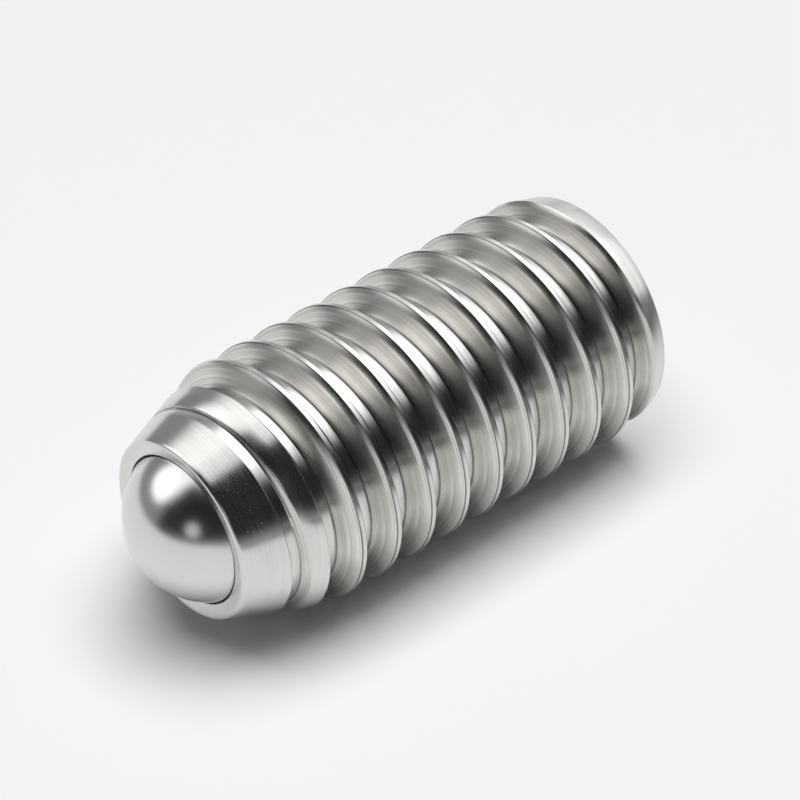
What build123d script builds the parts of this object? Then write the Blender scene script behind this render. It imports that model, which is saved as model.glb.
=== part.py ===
from build123d import *
import math
import os

# Ball-nosed spring plunger, M6 x 1 x 12: a threaded body with a hexagon socket in its rear end,
# a coil spring in a stepped bore, and a steel ball held in by the rolled lip at the nose.
# The plunger stands on its rear face at Z = 0, and +Z runs along its axis to the ball.

# Thread, right-hand ISO metric with its basic 60 degree profile
major_diameter = 6.0
pitch = 1.0
flank_angle = 30.0
thread_depth = 0.5413 * pitch
crest_width = pitch / 8
root_width = pitch / 4
thread_start_angle = -90.0          # about Z, where the crest behind the nose is measured
nose_to_crest = 4.38 * pitch        # from the lip plane back to the middle of that crest
runout_angle = -20.0                # about Z, where the groove ends short of the rear face
least_runout = 0.25                 # from the rear face to the middle of the groove's end

# Body
body_length = 12.0
nose_taper = 20.0                   # half angle of the cone behind the lip
lip_width = 0.35                    # face of the rolled lip, round its opening
lip_dish = 0.08                     # how far the lip face falls towards its opening
lip_chamfer = 0.1                   # breaks the outer edge of the lip
rear_chamfer = 0.22                 # how much the chamfer takes off the radius at the rear face
rear_taper = 15.0                   # half angle of the rear chamfer

# Ball
ball_diameter = 3.85
ball_protrusion = 1.065             # above the lip plane at rest
ball_clearance = 0.03               # all round, in the bore and under the lip
ball_stroke = 0.9
stop_clearance = 0.03               # left under the ball when it is pressed in

# Spring, with both ends ground flat
wire_diameter = 0.45
wire_sides = 6                      # flats that stand for the round of the wire
coils = 5
spring_clearance = 0.1              # from its coils to the wall of its bore
seat_clearance = 0.02               # at each end of the spring

# Spring bore and hexagon socket
spring_bore_diameter = 3.1
socket_width = 3.0                  # across the flats
socket_depth = 2.5
socket_clearance = 0.04             # so that a 3 mm key enters
socket_lead_in = 0.15
web_thickness = 1.0                 # between the socket and the spring bore
drill_point_angle = 59.0            # half angle of the drilled cones

# Sizes that follow from those above
major_radius = major_diameter / 2
root_radius = major_radius - thread_depth
rear_radius = major_radius - rear_chamfer
ball_radius = ball_diameter / 2
ball_bore_radius = ball_radius + ball_clearance
ball_center = body_length + ball_protrusion - ball_radius
lip_opening = math.sqrt(ball_bore_radius**2 - (body_length - lip_dish - ball_center) ** 2)
lip_radius = lip_opening + lip_width
spring_bore_radius = spring_bore_diameter / 2
bore_bottom = socket_depth + web_thickness


def rise(run, half_angle):
    """Length along the axis over which a cone of this half angle changes its radius by run."""
    return run / math.tan(math.radians(half_angle))


def revolved(profile_points):
    """Solid of revolution about Z from a closed outline of (radius, height) points."""
    outline = Polyline(*[(r, 0, z) for r, z in profile_points], close=True)
    return revolve(make_face(outline), axis=Axis.Z)


def turned_blank():
    """Plain bar, turned to the nose cone and the rear chamfer, with the edge of its lip broken."""
    blank = revolved(
        [
            (0, 0),
            (rear_radius, 0),
            (major_radius, rise(major_radius - rear_radius, rear_taper)),
            (major_radius, body_length - rise(major_radius - lip_radius, nose_taper)),
            (lip_radius, body_length),
            (lip_opening, body_length - lip_dish),
            (0, body_length - lip_dish),
        ]
    )
    lip_edge = blank.edges().filter_by(GeomType.CIRCLE).sort_by(Axis.Z)[-1]
    return chamfer(lip_edge, lip_chamfer)


def cut_thread(blank):
    """Cut the helical groove one turn at a time, from its run-out up past the nose."""
    overshoot = crest_width / 4
    inner, outer = root_radius, major_radius + overshoot
    root_half = root_width / 2
    mouth_half = root_half + (outer - inner) * math.tan(math.radians(flank_angle))
    section = Polyline(
        (inner, 0, -root_half), (outer, 0, -mouth_half), (outer, 0, mouth_half), (inner, 0, root_half), close=True
    )
    turn = sweep(make_face(section), path=Helix(pitch, pitch, inner), is_frenet=True)
    depth_axis = Plane(origin=((inner + outer) / 2, 0, 0), x_dir=(0, 1, 0), z_dir=(1, 0, 0))
    round_end = depth_axis * Cone(root_half, mouth_half, outer - inner)
    groove_phase = body_length - nose_to_crest - pitch / 2 + (runout_angle - thread_start_angle) / 360 * pitch
    lowest_end = groove_phase % pitch
    if lowest_end < least_runout:
        lowest_end += pitch
    blank -= Pos(0, 0, lowest_end) * Rot(Z=runout_angle) * round_end
    for index in range(math.ceil(body_length / pitch)):
        blank -= Pos(0, 0, lowest_end + index * pitch) * Rot(Z=runout_angle) * turn
    return blank


def stepped_bore():
    """Ball bore with its spherical top under the lip, the drilled shoulder and the spring bore."""
    pressed_center = ball_center - ball_stroke
    reach = math.sqrt(ball_radius**2 - spring_bore_radius**2)
    shoulder = pressed_center - reach - stop_clearance
    wall_foot = shoulder + rise(ball_bore_radius - spring_bore_radius, drill_point_angle)
    drilled = revolved(
        [
            (0, bore_bottom),
            (spring_bore_radius, bore_bottom),
            (spring_bore_radius, shoulder),
            (ball_bore_radius, wall_foot),
            (ball_bore_radius, ball_center),
            (0, ball_center),
        ]
    )
    return drilled + Pos(0, 0, ball_center) * Sphere(ball_bore_radius)


def hex_socket():
    """Hexagon socket with its drilled end and the small cone that leads the key in."""
    width = socket_width + socket_clearance
    corner_radius = width / math.sqrt(3)
    prism = extrude(RegularPolygon(corner_radius, 6), socket_depth)
    lead_in = revolved(
        [(0, 0), (corner_radius + socket_lead_in, 0), (corner_radius, socket_lead_in), (0, socket_lead_in)]
    )
    return prism + lead_in


def threaded_body():
    return cut_thread(turned_blank()) - stepped_bore() - hex_socket()


def ball():
    return Pos(0, 0, ball_center) * Sphere(ball_radius)


def spring():
    """Wire swept round the axis, from the bottom of its bore to where the ball sits in its end coil."""
    outer_radius = spring_bore_radius - spring_clearance
    mean_radius = outer_radius - wire_diameter / 2
    inner_radius = outer_radius - wire_diameter
    bottom = bore_bottom + seat_clearance
    top = ball_center - math.sqrt(ball_radius**2 - inner_radius**2) - seat_clearance
    length = top - bottom
    centre_line = Helix(length / coils, length, mean_radius, center=(0, 0, bottom))
    wire_plane = Plane(origin=centre_line @ 0, x_dir=(1, 0, 0), z_dir=centre_line % 0)
    section = wire_plane * RegularPolygon(wire_diameter / 2, wire_sides)
    wire = sweep(section, path=centre_line, is_frenet=True)
    return wire & Pos(0, 0, bottom + length / 2) * Cylinder(outer_radius + wire_diameter, length)


os.makedirs("parts", exist_ok=True)
for name, solid in (("threaded_body", threaded_body()), ("spring", spring()), ("ball", ball())):
    export_step(solid, f"parts/{name}.step")
    print(name, round(solid.volume, 3), solid.bounding_box())
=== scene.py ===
import math
import bpy
from mathutils import Matrix, Vector


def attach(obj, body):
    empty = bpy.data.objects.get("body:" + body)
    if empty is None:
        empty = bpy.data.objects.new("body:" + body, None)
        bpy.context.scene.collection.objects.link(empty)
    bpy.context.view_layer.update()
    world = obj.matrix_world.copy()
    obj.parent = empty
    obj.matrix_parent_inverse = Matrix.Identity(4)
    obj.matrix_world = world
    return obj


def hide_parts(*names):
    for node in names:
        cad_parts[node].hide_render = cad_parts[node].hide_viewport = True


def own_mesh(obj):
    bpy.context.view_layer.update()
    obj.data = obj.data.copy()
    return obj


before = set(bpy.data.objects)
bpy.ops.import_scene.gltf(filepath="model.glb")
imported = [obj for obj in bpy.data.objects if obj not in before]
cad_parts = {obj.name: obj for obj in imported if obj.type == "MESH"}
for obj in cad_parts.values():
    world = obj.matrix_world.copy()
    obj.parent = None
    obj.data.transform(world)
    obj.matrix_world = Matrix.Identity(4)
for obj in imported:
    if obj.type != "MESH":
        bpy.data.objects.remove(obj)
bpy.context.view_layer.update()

mm = 0.001


# Node trees: numbers in a tree behave like plain numbers, so that the formulas can be read

class Field:
    def __init__(self, tree, socket):
        self.tree = tree
        self.socket = socket

    def maths(self, operation, *others):
        inputs = dict(enumerate((self,) + others))
        node = addNode(self.tree, "ShaderNodeMath", inputs, operation=operation)
        return Field(self.tree, node.outputs[0])

    def __add__(self, other):
        return self.maths("ADD", other)

    def __sub__(self, other):
        return self.maths("SUBTRACT", other)

    def __mul__(self, other):
        return self.maths("MULTIPLY", other)

    def __truediv__(self, other):
        return self.maths("DIVIDE", other)

    def __neg__(self):
        return self * -1.0

    def __rsub__(self, other):
        return self * -1.0 + other

    __radd__ = __add__
    __rmul__ = __mul__

    def least(self, other):
        return self.maths("MINIMUM", other)

    def most(self, other):
        return self.maths("MAXIMUM", other)

    def within(self, low, high):
        return self.most(low).least(high)

    def above(self, limit):
        return self.maths("GREATER_THAN", limit)

    def root(self):
        return self.most(0.0).maths("SQRT")

    def ramp(self, low, high, bottom=0.0, top=1.0):
        inputs = {"Value": self, "From Min": low, "From Max": high, "To Min": bottom, "To Max": top}
        node = addNode(self.tree, "ShaderNodeMapRange", inputs, interpolation_type="SMOOTHSTEP")
        return Field(self.tree, node.outputs["Result"])


def feed(tree, socket, value):
    if isinstance(value, Field):
        tree.links.new(value.socket, socket)
    elif isinstance(value, bpy.types.NodeSocket):
        tree.links.new(value, socket)
    else:
        socket.default_value = value


def addNode(tree, kind, inputs=None, **settings):
    node = tree.nodes.new(kind)
    for name, value in settings.items():
        setattr(node, name, value)
    for name, value in (inputs or {}).items():
        feed(tree, node.inputs[name], value)
    return node


def vectorMaths(tree, operation, *values):
    node = addNode(tree, "ShaderNodeVectorMath", dict(enumerate(values)), operation=operation)
    return node.outputs["Value"] if operation in ("DOT_PRODUCT", "LENGTH") else node.outputs["Vector"]


def newGroup(name, kind, inputs, outputs):
    tree = bpy.data.node_groups.new(name, kind)
    for label, socketKind, value in inputs:
        socket = tree.interface.new_socket(label, in_out="INPUT", socket_type=socketKind)
        if value is not None:
            socket.default_value = value
    for label, socketKind in outputs:
        tree.interface.new_socket(label, in_out="OUTPUT", socket_type=socketKind)
    return tree


def sizeInputs(sizes):
    rows = []
    for label, value in sizes.items():
        kind = "NodeSocketInt" if isinstance(value, int) else "NodeSocketFloat"
        rows.append((label, kind, value))
    return rows


def newShapeTree(name, sizes):
    geometry = "NodeSocketGeometry"
    tree = newGroup(name, "GeometryNodeTree", [("Geometry", geometry, None)] + sizeInputs(sizes), [("Geometry", geometry)])
    entry = tree.nodes.new("NodeGroupInput")
    fields = {label: Field(tree, entry.outputs[label]) for label in sizes}
    return tree, fields


def finishTree(tree, geometry, materials):
    # to metres, then real mesh, then a material for each zone; the first has the rest of the piece
    scaled = addNode(tree, "GeometryNodeTransform", {"Geometry": geometry, "Scale": (mm, mm, mm)})
    smooth = addNode(tree, "GeometryNodeSetShadeSmooth", {"Geometry": scaled.outputs[0]})
    real = addNode(tree, "GeometryNodeRealizeInstances", {"Geometry": smooth.outputs[0]})
    last = real.outputs[0]
    for material, zone in materials:
        inputs = {"Geometry": last, "Material": material}
        if zone is not None:
            inputs["Selection"] = zone
        last = addNode(tree, "GeometryNodeSetMaterial", inputs).outputs[0]
    exitNode = tree.nodes.new("NodeGroupOutput")
    tree.links.new(last, exitNode.inputs["Geometry"])


def growPiece(name, tree, sizes, sharpAngle):
    # runs the tree on an empty object and keeps the result as a plain mesh
    holder = bpy.data.objects.new(name, bpy.data.meshes.new(name))
    bpy.context.scene.collection.objects.link(holder)
    modifier = holder.modifiers.new("shape", "NODES")
    modifier.node_group = tree
    for item in tree.interface.items_tree:
        if item.in_out == "INPUT" and item.name in sizes:
            modifier[item.identifier] = sizes[item.name]
    depsgraph = bpy.context.evaluated_depsgraph_get()
    mesh = bpy.data.meshes.new_from_object(holder.evaluated_get(depsgraph), depsgraph=depsgraph)
    holder.modifiers.remove(modifier)
    mesh.set_sharp_from_angle(angle=math.radians(sharpAngle))
    holder.data = mesh
    weigh = holder.modifiers.new("weigh", "WEIGHTED_NORMAL")
    weigh.keep_sharp = True
    depsgraph = bpy.context.evaluated_depsgraph_get()
    holder.data = bpy.data.meshes.new_from_object(holder.evaluated_get(depsgraph), depsgraph=depsgraph)
    holder.modifiers.remove(weigh)
    holder.data.name = name
    print("grown", name, len(holder.data.vertices), "vertices", len(holder.data.polygons), "faces")
    return holder


# Finishes shared by the metals

def objectMillimetres(tree):
    coordinates = addNode(tree, "ShaderNodeTexCoord")
    return vectorMaths(tree, "MULTIPLY", coordinates.outputs["Object"], (1 / mm, 1 / mm, 1 / mm))


def noise(tree, vector, scale, detail=2.0, **more):
    inputs = {"Vector": vector, "Scale": scale, "Detail": detail}
    inputs.update(more)
    dimensions = "4D" if "W" in more else "3D"
    node = addNode(tree, "ShaderNodeTexNoise", inputs, noise_dimensions=dimensions)
    return Field(tree, node.outputs[0])


def makeTurningMarks():
    # fine rings left by the tool, and slow bands that drift round the axis
    # with no share of the height, the rings depend on the radius alone and so follow the thread
    inputs = [
        ("Spacing", "NodeSocketFloat", 0.04),
        ("Drift", "NodeSocketFloat", 1.2),
        ("Height Share", "NodeSocketFloat", 1.0),
    ]
    outputs = [("Rings", "NodeSocketFloat"), ("Bands", "NodeSocketFloat")]
    tree = newGroup("turning marks", "ShaderNodeTree", inputs, outputs)
    entry = tree.nodes.new("NodeGroupInput")
    spacing = Field(tree, entry.outputs["Spacing"])
    drift = Field(tree, entry.outputs["Drift"])
    split = addNode(tree, "ShaderNodeSeparateXYZ", {0: objectMillimetres(tree)})
    x, y, height = (Field(tree, split.outputs[index]) for index in range(3))
    height = height * Field(tree, entry.outputs["Height Share"])
    radius = (x * x + y * y).root().most(0.001)
    around = {"X": x / radius * drift, "Y": y / radius * drift, "Z": height / spacing}
    place = addNode(tree, "ShaderNodeCombineXYZ", around)
    rings = noise(tree, place.outputs[0], 1.0, 3.0, W=radius / spacing)
    slow = {"X": x / radius * drift * 3.0, "Y": y / radius * drift * 3.0, "Z": height / spacing * 0.15}
    slowPlace = addNode(tree, "ShaderNodeCombineXYZ", slow)
    bands = noise(tree, slowPlace.outputs[0], 1.0, 2.0, W=radius / spacing * 0.15)
    exitNode = tree.nodes.new("NodeGroupOutput")
    feed(tree, exitNode.inputs["Rings"], rings)
    feed(tree, exitNode.inputs["Bands"], bands)
    return tree


def makeHandling():
    # faint smears and specks of use, the same on every steel
    inputs = [("Size", "NodeSocketFloat", 1.0), ("Specks", "NodeSocketFloat", 0.5)]
    outputs = [("Smears", "NodeSocketFloat"), ("Dust", "NodeSocketFloat")]
    tree = newGroup("handling", "ShaderNodeTree", inputs, outputs)
    entry = tree.nodes.new("NodeGroupInput")
    place = objectMillimetres(tree)
    smears = noise(tree, place, Field(tree, entry.outputs["Size"]), 4.0, Distortion=0.6)
    dust = noise(tree, place, 18.0, 2.0).ramp(0.66, 0.8) * Field(tree, entry.outputs["Specks"])
    exitNode = tree.nodes.new("NodeGroupOutput")
    feed(tree, exitNode.inputs["Smears"], smears)
    feed(tree, exitNode.inputs["Dust"], dust)
    return tree


def blendColour(tree, share, low, high):
    node = addNode(tree, "ShaderNodeMix", {"Factor": share}, data_type="RGBA")
    feed(tree, node.inputs[6], low + (1.0,) if isinstance(low, tuple) else low)
    feed(tree, node.inputs[7], high + (1.0,) if isinstance(high, tuple) else high)
    return node.outputs[2]


def makeSteel(name, look):
    material = bpy.data.materials.new(name)
    material.use_nodes = True
    tree = material.node_tree
    tree.nodes.clear()
    marks = addNode(tree, "ShaderNodeGroup", node_tree=turningMarks)
    marks.inputs["Spacing"].default_value = look["ringSpacing"]
    marks.inputs["Drift"].default_value = look["ringDrift"]
    marks.inputs["Height Share"].default_value = look["ringHeightShare"]
    use = addNode(tree, "ShaderNodeGroup", node_tree=handling)
    use.inputs["Size"].default_value = look["smearSize"]
    use.inputs["Specks"].default_value = look["specks"]
    rings = Field(tree, marks.outputs["Rings"])
    bands = Field(tree, marks.outputs["Bands"])
    smears = Field(tree, use.outputs["Smears"])
    dust = Field(tree, use.outputs["Dust"])
    tone = rings.ramp(0.38, 0.62) * look["ringTone"] + bands.ramp(0.35, 0.65) * look["bandTone"]
    tone = tone + smears.ramp(0.35, 0.7) * look["smearTone"]
    colour = blendColour(tree, tone.within(0.0, 1.0), look["light"], look["dark"])
    rough = rings.ramp(0.3, 0.7, look["rough"], look["roughMost"]) + smears * look["smearRough"] + dust * 0.2
    bump = addNode(tree, "ShaderNodeBump", {"Height": rings, "Strength": look["ringBump"], "Distance": look["ringHeight"]})
    steel = addNode(tree, "ShaderNodeBsdfPrincipled", {"Base Color": colour, "Roughness": rough, "Metallic": 1.0})
    steel.inputs["Anisotropic"].default_value = look["anisotropic"]
    feed(tree, steel.inputs["Normal"], bump.outputs[0])
    steel.inputs["Anisotropic Rotation"].default_value = 0.25
    if look["anisotropic"]:
        tangent = addNode(tree, "ShaderNodeTangent", direction_type="RADIAL", axis="Z")
        feed(tree, steel.inputs["Tangent"], tangent.outputs[0])
    output = addNode(tree, "ShaderNodeOutputMaterial", {"Surface": steel.outputs[0]})
    output.is_active_output = True
    return material


turningMarks = makeTurningMarks()
handling = makeHandling()

plainSteel = {
    "light": (0.72, 0.715, 0.70),
    "dark": (0.56, 0.55, 0.53),
    "ringSpacing": 0.05,
    "ringDrift": 1.2,
    "ringHeightShare": 1.0,
    "ringTone": 0.3,
    "bandTone": 0.2,
    "smearTone": 0.2,
    "smearSize": 0.8,
    "smearRough": 0.04,
    "specks": 0.2,
    "rough": 0.1,
    "roughMost": 0.2,
    "ringBump": 0.15,
    "ringHeight": 0.000002,
    "anisotropic": 0.0,
}
landSteel = makeSteel("land steel", {**plainSteel, "rough": 0.12, "roughMost": 0.2})
flankSteel = makeSteel(
    "flank steel",
    {
        **plainSteel,
        "light": (0.76, 0.748, 0.72),
        "dark": (0.44, 0.43, 0.41),
        "rough": 0.15,
        "roughMost": 0.24,
        "ringSpacing": 0.028,
        "ringDrift": 0.7,
        "ringHeightShare": 0.0,
        "ringTone": 0.55,
        "bandTone": 0.15,
        "ringBump": 0.3,
        "anisotropic": 0.9,
    },
)
turnedSteel = makeSteel(
    "turned steel",
    {
        **plainSteel,
        "rough": 0.18,
        "roughMost": 0.24,
        "ringSpacing": 0.03,
        "ringDrift": 0.8,
        "ringTone": 0.2,
        "bandTone": 0.05,
        "smearTone": 0.1,
        "ringBump": 0.1,
        "anisotropic": 0.8,
    },
)
# a dark steel for the crest edge breaks and the root corners: painted shade lines along the thread's edges
edgeShadeSteel = makeSteel("painted edge shade steel", {**plainSteel, "light": (0.28, 0.275, 0.27), "dark": (0.14, 0.138, 0.135), "rough": 0.3})
boreSteel = makeSteel("bore steel", {**plainSteel, "light": (0.5, 0.49, 0.47), "dark": (0.3, 0.29, 0.27), "rough": 0.35, "roughMost": 0.5})
ballSteel = makeSteel(
    "polished ball steel",
    {
        **plainSteel,
        "light": (0.70, 0.70, 0.695),
        "dark": (0.66, 0.66, 0.655),
        "rough": 0.19,
        "roughMost": 0.21,
        "ringTone": 0.0,
        "bandTone": 0.0,
        "smearTone": 0.4,
        "smearRough": 0.03,
        "ringBump": 0.0,
    },
)
springSteel = makeSteel("drawn wire steel", {**plainSteel, "rough": 0.25, "roughMost": 0.35})
print("finishes made")


# Threaded body

bodySize = {
    "Major Diameter": 6.0,
    "Pitch": 1.0,
    "Thread Depth": 0.5413,
    "Flank Angle": 30.0,
    "Root Width": 0.25,
    "Groove End Angle": -20.0,
    "Groove End Height": 0.314444,
    "Body Length": 12.0,
    "Nose Taper": 20.0,
    "Lip Radius": 2.143,
    "Lip Opening": 1.793,
    "Lip Dish": 0.08,
    "Lip Round": 0.1,
    "Rear Radius": 2.78,
    "Rear Taper": 15.0,
    "Ball Bore": 3.91,
    "Ball Height": 11.14,
    "Spring Bore": 3.1,
    "Shoulder": 9.08,
    "Bore Bottom": 3.5,
    "Socket Width": 3.04,
    "Socket Depth": 2.5,
    "Socket Mouth": 0.15,
    "Edge Break": 0.014,
    "Root Round": 0.02,
    "Columns A Turn": 288,
}


def tangentOf(angle):
    return (angle * (math.pi / 180)).maths("TANGENT")


def alongKeys(row, keys, steps):
    # passes through the keys in turn, with so many rows from each to the next
    value = keys[0]
    start = 0
    for before, after, count in zip(keys, keys[1:], steps):
        share = ((row - float(start)) / float(count)).within(0.0, 1.0)
        value = share * (after - before) + value
        start += count
    return value


def placeGrid(tree, columns, rows, angle, radius, height):
    grid = addNode(tree, "GeometryNodeMeshGrid", {"Vertices X": columns, "Vertices Y": rows})
    x = radius * angle.maths("COSINE")
    y = radius * angle.maths("SINE")
    place = addNode(tree, "ShaderNodeCombineXYZ", {"X": x, "Y": y, "Z": height})
    moved = addNode(tree, "GeometryNodeSetPosition", {"Geometry": grid.outputs[0], "Position": place.outputs[0]})
    return moved.outputs[0]


def makeBodyTree():
    tree, size = newShapeTree("threaded body", bodySize)
    major = size["Major Diameter"] / 2.0
    root = major - size["Thread Depth"]
    slope = tangentOf(size["Flank Angle"])
    rootHalf = size["Root Width"] / 2.0
    pitch = size["Pitch"]
    length = size["Body Length"]
    lip = size["Lip Radius"]
    noseSlope = tangentOf(size["Nose Taper"])
    rearSlope = tangentOf(size["Rear Taper"])
    turn = size["Columns A Turn"]
    coneStart = length - (major - lip) / noseSlope
    chamferEnd = (major - size["Rear Radius"]) / rearSlope
    noseEnd = length - size["Lip Round"] * 0.94
    rearEnd = size["Edge Break"] * 3.0
    index = Field(tree, tree.nodes.new("GeometryNodeInputIndex").outputs[0])

    def blankRadius(height):
        nose = lip + (length - height) * noseSlope
        rear = size["Rear Radius"] + height * rearSlope
        return major.least(nose).least(rear)

    # one long strip wound round the axis: each row runs along the groove, one pitch wide in all
    steps = (1, 1, 1, 4, 1, 1, 1, 1, 4, 1, 1, 1)
    rows = sum(steps) + 1
    column = (index / float(rows)).maths("FLOOR")
    row = index - column * float(rows)
    early = 0.9375    # whole columns, so that the strip's ends meet the nose and the rear
    late = 0.65
    endTurns = size["Groove End Angle"] / 360.0
    turns = column / turn - early
    angle = (turns + endTurns) * (2 * math.pi)
    grooveHeight = turns * pitch + size["Groove End Height"]
    past = (-turns).most(0.0) * (2 * math.pi) * (root + major) * 0.49
    foot = (rootHalf * rootHalf - past * past).root()

    def mouth(side):
        reach = size["Thread Depth"] * slope + rootHalf
        for attempt in range(5):
            half = (blankRadius(grooveHeight + reach * side) - root) * slope + rootHalf
            half = half.most(0.0)
            reach = (half * half - past * past).root()
        return reach.most(foot)

    rearMouth = mouth(-1.0)
    frontMouth = mouth(1.0)
    rearBreak = ((rearMouth - foot) / 4.0).least(size["Edge Break"])
    frontBreak = ((frontMouth - foot) / 4.0).least(size["Edge Break"])
    footRound = (foot / 2.0).least(size["Root Round"]).least((rearMouth - foot) / 4.0).least((frontMouth - foot) / 4.0)
    bend = grooveHeight.above(length / 2.0) * (coneStart - chamferEnd) + chamferEnd - grooveHeight
    rootOut = length - (root - lip) / noseSlope - grooveHeight
    half = pitch / 2.0
    keys = (
        -half,
        bend.within(-half, -(rearMouth + rearBreak)),
        -(rearMouth + rearBreak),
        rearBreak - rearMouth,
        -(foot + footRound),
        footRound - foot,
        rootOut.within(footRound - foot, foot - footRound),
        foot - footRound,
        foot + footRound,
        frontMouth - frontBreak,
        frontMouth + frontBreak,
        bend.within(frontMouth + frontBreak, half),
        half,
    )
    offset = alongKeys(row, keys, steps)
    height = (grooveHeight + offset).within(rearEnd, noseEnd)
    span = (past * past + offset * offset).root()
    grooveRadius = root + ((span - rootHalf) / slope).most(0.0)
    radius = blankRadius(height).least(grooveRadius)
    columns = turn * ((length / pitch) + early + late)
    strip = placeGrid(tree, columns, rows, angle, radius, height)

    # lip, ball bore, shoulder and spring bore, from the nose cone inwards
    noseRadius = lip + (length - noseEnd) * noseSlope
    faceSlope = size["Lip Dish"] / (lip - size["Lip Opening"])
    faceRadius = lip - size["Lip Round"]
    faceHeight = length - size["Lip Round"] * faceSlope
    lipKeys = []
    for share in (0.0, 0.2, 0.4, 0.6, 0.8, 1.0):
        first, middle, last = (1 - share) ** 2, 2 * share * (1 - share), share**2
        lipKeys.append((noseRadius * first + lip * middle + faceRadius * last, noseEnd * first + length * middle + faceHeight * last))
    lipKeys.append((size["Lip Opening"] + 0.02, length - size["Lip Dish"] + 0.004))
    boreRadius = size["Ball Bore"] / 2.0
    topAngle = (size["Lip Opening"] / boreRadius).maths("ARCCOSINE")
    arcSteps = 8
    for number in range(arcSteps + 1):
        lean = topAngle * (1 - number / arcSteps)
        lipKeys.append((boreRadius * lean.maths("COSINE"), size["Ball Height"] + boreRadius * lean.maths("SINE")))
    springRadius = size["Spring Bore"] / 2.0
    lipKeys += [
        (boreRadius, size["Shoulder"] + (boreRadius - springRadius) * 0.6),
        (springRadius, size["Shoulder"]),
        (springRadius, size["Bore Bottom"]),
        (springRadius * 0.5, size["Bore Bottom"]),
        (springRadius * 0.0, size["Bore Bottom"]),
    ]
    frontRows = len(lipKeys)
    frontColumn = (index / float(frontRows)).maths("FLOOR")
    frontRow = index - frontColumn * float(frontRows)
    frontSteps = [1] * (frontRows - 1)
    frontAngle = frontColumn / turn * (2 * math.pi)
    front = placeGrid(
        tree,
        turn + 1.0,
        frontRows,
        frontAngle,
        alongKeys(frontRow, [key[0] for key in lipKeys], frontSteps),
        alongKeys(frontRow, [key[1] for key in lipKeys], frontSteps),
    )

    # socket and rear face, from the middle of the socket outwards
    cornerRadius = size["Socket Width"] / math.sqrt(3)
    rearRows = 9
    rearColumn = (index / float(rearRows)).maths("FLOOR")
    rearRow = index - rearColumn * float(rearRows)
    rearAngle = rearColumn / turn * (2 * math.pi)
    fromFlat = rearAngle.maths("MODULO", math.pi / 3) - math.pi / 6
    wall = size["Socket Width"] / 2.0 / fromFlat.maths("COSINE")
    mouthRadius = cornerRadius + size["Socket Mouth"]
    rearEndRadius = blankRadius(rearEnd)
    rearKeys = [
        (wall * 0.0, size["Socket Depth"]),
        (wall * 0.5, size["Socket Depth"]),
        (wall, size["Socket Depth"]),
        (wall, mouthRadius - wall),
        (mouthRadius, mouthRadius * 0.0),
        (size["Rear Radius"] - 0.1, mouthRadius * 0.0),
        (size["Rear Radius"] - 0.045, mouthRadius * 0.0),
        (size["Rear Radius"] - 0.012, rearEnd * 0.25),
        (rearEndRadius, rearEnd),
    ]
    rearSteps = [1] * (rearRows - 1)
    rear = placeGrid(
        tree,
        turn + 1.0,
        rearRows,
        rearAngle,
        alongKeys(rearRow, [key[0] for key in rearKeys], rearSteps),
        alongKeys(rearRow, [key[1] for key in rearKeys], rearSteps),
    )

    joined = tree.nodes.new("GeometryNodeJoinGeometry")
    for part in (strip, front, rear):
        tree.links.new(part, joined.inputs[0])
    merged = addNode(tree, "GeometryNodeMergeByDistance", {"Geometry": joined.outputs[0], "Distance": 0.0006})

    # zones are told apart by where a face lies, in millimetres
    position = tree.nodes.new("GeometryNodeInputPosition").outputs[0]
    split = addNode(tree, "ShaderNodeSeparateXYZ", {0: position})
    faceX, faceY, faceZ = (Field(tree, split.outputs[number]) / mm for number in range(3))
    faceRadiusNow = (faceX * faceX + faceY * faceY).root()
    outside = faceRadiusNow.above(blankRadius(faceZ) - 0.014)
    nose = outside * faceZ.above(coneStart)
    chamfer = outside * (-faceZ).above(-chamferEnd)
    inGroove = (-faceRadiusNow).above(-(blankRadius(faceZ) - 0.014)) * faceRadiusNow.above(root + 0.006)
    # the crest edge breaks and the root corner rounds take the dark steel below: painted shade lines, not a different
    # finish
    crestEdgeShade = outside * (-faceRadiusNow).above(-(blankRadius(faceZ) - 0.005)) * (-faceZ).above(-coneStart) * faceZ.above(chamferEnd)
    rootCornerShade = (1.0 - outside) * faceRadiusNow.above(root + 0.006) * (-faceRadiusNow).above(-(root + 0.03)) * faceZ.above(0.25)
    inside = (-faceRadiusNow).above(-(size["Lip Opening"] + 0.015)) + (-faceRadiusNow).above(-boreRadius) * (-faceZ).above(-size["Ball Height"])
    lipFace = faceZ.above(noseEnd - 0.002)
    inside = inside * (faceZ.above(0.004))
    finishTree(
        tree,
        merged.outputs[0],
        (
            (landSteel, None),
            (flankSteel, inGroove),
            (turnedSteel, (nose + chamfer + lipFace).above(0.5)),
            (edgeShadeSteel, (crestEdgeShade + rootCornerShade).above(0.5)),
            (boreSteel, inside.above(0.5)),
        ),
    )
    return tree


body = growPiece("body", makeBodyTree(), bodySize, 40.0)
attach(body, "housing")
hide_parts("threaded_body")


# Ball

ballSize = {"Ball Diameter": 3.85, "Ball Height": 11.14, "Squares A Side": 48}


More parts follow.
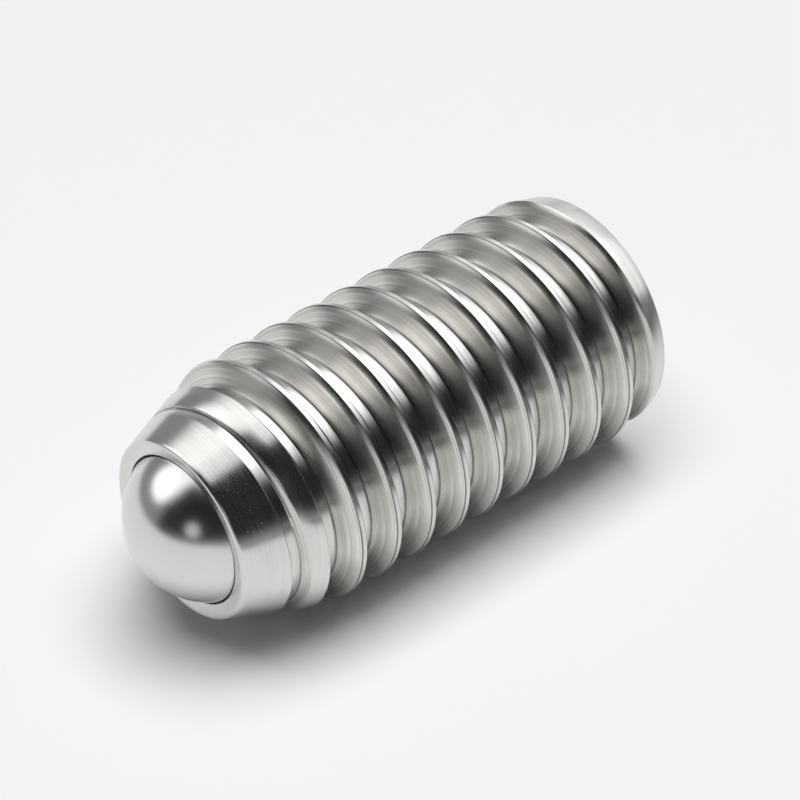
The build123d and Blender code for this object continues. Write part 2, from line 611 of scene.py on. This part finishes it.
def makeBallTree():
    # a cube of even squares pushed out to a sphere, so that there is no pole
    tree, size = newShapeTree("detent ball", ballSize)
    count = size["Squares A Side"] + 1.0
    cube = addNode(tree, "GeometryNodeMeshCube", {"Size": (2.0, 2.0, 2.0), "Vertices X": count, "Vertices Y": count, "Vertices Z": count})
    position = tree.nodes.new("GeometryNodeInputPosition").outputs[0]
    split = addNode(tree, "ShaderNodeSeparateXYZ", {0: position})
    even = {}
    for number, axis in enumerate("XYZ"):
        even[axis] = (Field(tree, split.outputs[number]) * (math.pi / 4)).maths("TANGENT")
    spread = addNode(tree, "ShaderNodeCombineXYZ", even)
    unit = vectorMaths(tree, "NORMALIZE", spread.outputs[0])
    radius = addNode(tree, "ShaderNodeCombineXYZ", {axis: size["Ball Diameter"] / 2.0 for axis in "XYZ"})
    centre = addNode(tree, "ShaderNodeCombineXYZ", {"Z": size["Ball Height"]})
    place = vectorMaths(tree, "MULTIPLY_ADD", unit, radius.outputs[0], centre.outputs[0])
    moved = addNode(tree, "GeometryNodeSetPosition", {"Geometry": cube.outputs[0], "Position": place})
    finishTree(tree, moved.outputs[0], ((ballSteel, None),))
    return tree


ball = growPiece("detentBall", makeBallTree(), ballSize, 60.0)
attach(ball, "detent_ball")
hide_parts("ball")


# Spring

springSize = {
    "Wire Diameter": 0.45,
    "Mean Radius": 1.225,
    "Foot Height": 3.52,
    "Spring Length": 5.955,
    "Coils": 5.0,
    "Points A Coil": 64,
    "Points Round Wire": 14,
}


def makeSpringTree():
    tree, size = newShapeTree("coil spring", springSize)
    spiral = addNode(
        tree,
        "GeometryNodeCurveSpiral",
        {
            "Resolution": size["Points A Coil"],
            "Rotations": size["Coils"],
            "Start Radius": size["Mean Radius"],
            "End Radius": size["Mean Radius"],
            "Height": size["Spring Length"],
            "Reverse": False,
        },
    )
    wireSection = addNode(tree, "GeometryNodeCurvePrimitiveCircle", {"Resolution": size["Points Round Wire"], "Radius": size["Wire Diameter"] / 2.0})
    wire = addNode(tree, "GeometryNodeCurveToMesh", {"Curve": spiral.outputs[0], "Profile Curve": wireSection.outputs[0], "Fill Caps": True})
    # both ends are ground flat
    position = tree.nodes.new("GeometryNodeInputPosition").outputs[0]
    split = addNode(tree, "ShaderNodeSeparateXYZ", {0: position})
    ground = Field(tree, split.outputs[2]).within(0.0, size["Spring Length"]) + size["Foot Height"]
    place = addNode(tree, "ShaderNodeCombineXYZ", {"X": split.outputs[0], "Y": split.outputs[1], "Z": ground})
    moved = addNode(tree, "GeometryNodeSetPosition", {"Geometry": wire.outputs[0], "Position": place.outputs[0]})
    finishTree(tree, moved.outputs[0], ((springSteel, None),))
    return tree


spring = growPiece("coilSpring", makeSpringTree(), springSize, 50.0)
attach(spring, "housing")
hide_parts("spring")
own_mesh(spring)
print("pieces placed")


# Studio: the plunger lies on its thread on a pale floor

noseWay = Vector((0.0, 0.0, 1.0))
floorUp = Vector((-0.5194, -0.8545, 0.0)).normalized()
sideWay = floorUp.cross(noseWay)

studio = {
    "floorReach": 0.30,
    "floorColour": (0.90, 0.90, 0.90),
    "fillLight": 0.06,
    "keyPower": 1.88,
    "keyWidth": 0.28,
    "keyLength": 0.42,
    "keyDistance": 0.40,
    "keyElevation": 88.0,
    "keyTurn": 70.0,
}


def direction(elevation, turn):
    lift, spin = math.radians(elevation), math.radians(turn)
    flat = noseWay * math.cos(spin) + sideWay * math.sin(spin)
    return flat * math.cos(lift) + floorUp * math.sin(lift)


def makeFloor():
    reach = studio["floorReach"]
    centre = noseWay * 0.006 - floorUp * 0.003
    corners = [centre + noseWay * (a * reach) + sideWay * (b * reach) for a, b in ((-1, -1), (1, -1), (1, 1), (-1, 1))]
    mesh = bpy.data.meshes.new("floor")
    mesh.from_pydata([tuple(corner) for corner in corners], [], [(0, 1, 2, 3)])
    if Vector(mesh.polygons[0].normal).dot(floorUp) < 0:
        mesh.flip_normals()
    floor = bpy.data.objects.new("floor", mesh)
    bpy.context.scene.collection.objects.link(floor)
    material = bpy.data.materials.new("studio floor")
    material.use_nodes = True
    tree = material.node_tree
    tree.nodes.clear()
    place = addNode(tree, "ShaderNodeTexCoord").outputs["Object"]
    away = vectorMaths(tree, "SUBTRACT", place, tuple(centre))
    light = addNode(tree, "ShaderNodeLightPath")
    # seen only in reflections, the floor on the rear side from 9 to 28 mm out turns much darker: painted shade for the
    # metal to reflect
    rearSide = Field(tree, vectorMaths(tree, "DOT_PRODUCT", away, tuple(direction(0.0, 140.0))))
    paintedReflectionShade = rearSide.ramp(0.009, 0.028) * Field(tree, light.outputs["Is Glossy Ray"]) * 0.8
    tone = blendColour(tree, paintedReflectionShade, studio["floorColour"], (0.0, 0.0, 0.0))
    paper = addNode(tree, "ShaderNodeBsdfDiffuse", {"Color": tone})
    clear = addNode(tree, "ShaderNodeBsdfTransparent")
    geometry = addNode(tree, "ShaderNodeNewGeometry")
    white = addNode(tree, "ShaderNodeEmission", {"Color": (1.0, 1.0, 1.0, 1.0), "Strength": 1.0})
    distance = Field(tree, vectorMaths(tree, "LENGTH", away))
    fade = distance.ramp(0.020, 0.060) * Field(tree, light.outputs["Is Camera Ray"])
    faded = addNode(tree, "ShaderNodeMixShader", {0: fade, 1: paper.outputs[0], 2: white.outputs[0]})
    oneSided = addNode(tree, "ShaderNodeMixShader", {0: geometry.outputs["Backfacing"], 1: faded.outputs[0], 2: clear.outputs[0]})
    addNode(tree, "ShaderNodeOutputMaterial", {"Surface": oneSided.outputs[0]})
    mesh.materials.append(material)
    return floor


def makeWorld():
    world = bpy.data.worlds.new("studio")
    bpy.context.scene.world = world
    world.use_nodes = True
    tree = world.node_tree
    tree.nodes.clear()
    way = addNode(tree, "ShaderNodeTexCoord").outputs["Generated"]

    def along(axis):
        return Field(tree, vectorMaths(tree, "DOT_PRODUCT", way, tuple(axis)))

    up = along(floorUp)
    # a pale room on the left, behind and overhead, and a dark side in front and to the right
    frontEdge = along(direction(0.0, -110.0)).ramp(-0.14, 0.14)
    backEdge = along(direction(0.0, -135.0)).ramp(-0.12, 0.12)
    overhead = up.ramp(0.94, 0.985)
    room = frontEdge.most(backEdge).most(overhead)
    ceiling = up.ramp(0.50, 0.75).most(up.ramp(0.36, 0.52) * along(direction(0.0, -165.0)).ramp(0.55, 0.75))
    seam = along(direction(40.0, -112.0)).ramp(0.945, 0.985)
    box = along(direction(38.0, -52.0)).ramp(0.89, 0.975) * up.ramp(0.22, 0.42)
    topBox = along(direction(64.0, -172.0)).ramp(0.90, 0.955)
    backWall = along(direction(15.0, -165.0)).ramp(0.75, 0.92)
    sideWall = along(direction(8.0, -130.0)).ramp(0.85, 0.95)
    rearWall = along(direction(24.0, 172.0)).ramp(0.90, 0.95)
    pale = ceiling.most(box * 1.3) * 1.1 * (1.0 - seam * 0.8) + topBox * 0.7 + backWall * 0.45 + sideWall * 0.2 + 0.27
    pale = pale.most(rearWall * 1.35)
    horizon = up.ramp(0.2, 0.0) * along(direction(0.0, 60.0)).ramp(0.2, 0.9)
    lamp = along(direction(18.0, 28.0)).ramp(0.975, 0.998)
    dark = horizon * 0.22 + lamp * 0.7 + 0.02
    below = up.ramp(0.02, -0.03)
    studioLight = room * (pale - dark) + dark
    studioLight = studioLight * (1.0 - below) + below * 0.9
    path = addNode(tree, "ShaderNodeLightPath")
    isCamera = Field(tree, path.outputs["Is Camera Ray"])
    isGlossy = Field(tree, path.outputs["Is Glossy Ray"])
    plain = isCamera * (1.0 - studio["fillLight"]) + studio["fillLight"]
    strength = isGlossy * (studioLight - plain) + plain
    back = addNode(tree, "ShaderNodeBackground", {"Color": (1.0, 1.0, 1.0, 1.0), "Strength": strength})
    addNode(tree, "ShaderNodeOutputWorld", {"Surface": back.outputs[0]})
    return world


def makeKeyLight():
    lamp = bpy.data.lights.new("keyLight", "AREA")
    lamp.energy = studio["keyPower"]
    lamp.shape = "RECTANGLE"
    lamp.size = studio["keyWidth"]
    lamp.size_y = studio["keyLength"]
    holder = bpy.data.objects.new("keyLight", lamp)
    bpy.context.scene.collection.objects.link(holder)
    way = direction(studio["keyElevation"], studio["keyTurn"])
    across = noseWay.cross(way).normalized()
    along = way.cross(across)
    turned = Matrix((across, along, way)).transposed().to_4x4()
    holder.matrix_world = Matrix.Translation(noseWay * 0.006 + way * studio["keyDistance"]) @ turned
    holder.visible_glossy = False
    holder.visible_camera = False
    return holder


def makeCamera():
    camera = bpy.data.cameras.new("camera")
    camera.lens = 168.43
    camera.sensor_width = 36.0
    camera.sensor_fit = "HORIZONTAL"
    camera.clip_start = 0.002
    camera.clip_end = 5.0
    holder = bpy.data.objects.new("camera", camera)
    bpy.context.scene.collection.objects.link(holder)
    eye = Vector((-69.3805, -20.0989, 48.8869)) * mm
    ahead = Vector((0.82403, 0.23677, -0.51470)).normalized()
    right = ahead.cross(floorUp).normalized()
    above = right.cross(ahead).normalized()
    turned = Matrix((right, above, -ahead)).transposed().to_4x4()
    holder.matrix_world = Matrix.Translation(eye) @ turned
    bpy.context.scene.camera = holder
    return holder


makeFloor()
makeWorld()
makeKeyLight()
makeCamera()
bpy.context.scene.view_settings.view_transform = "Standard"
print("studio set")
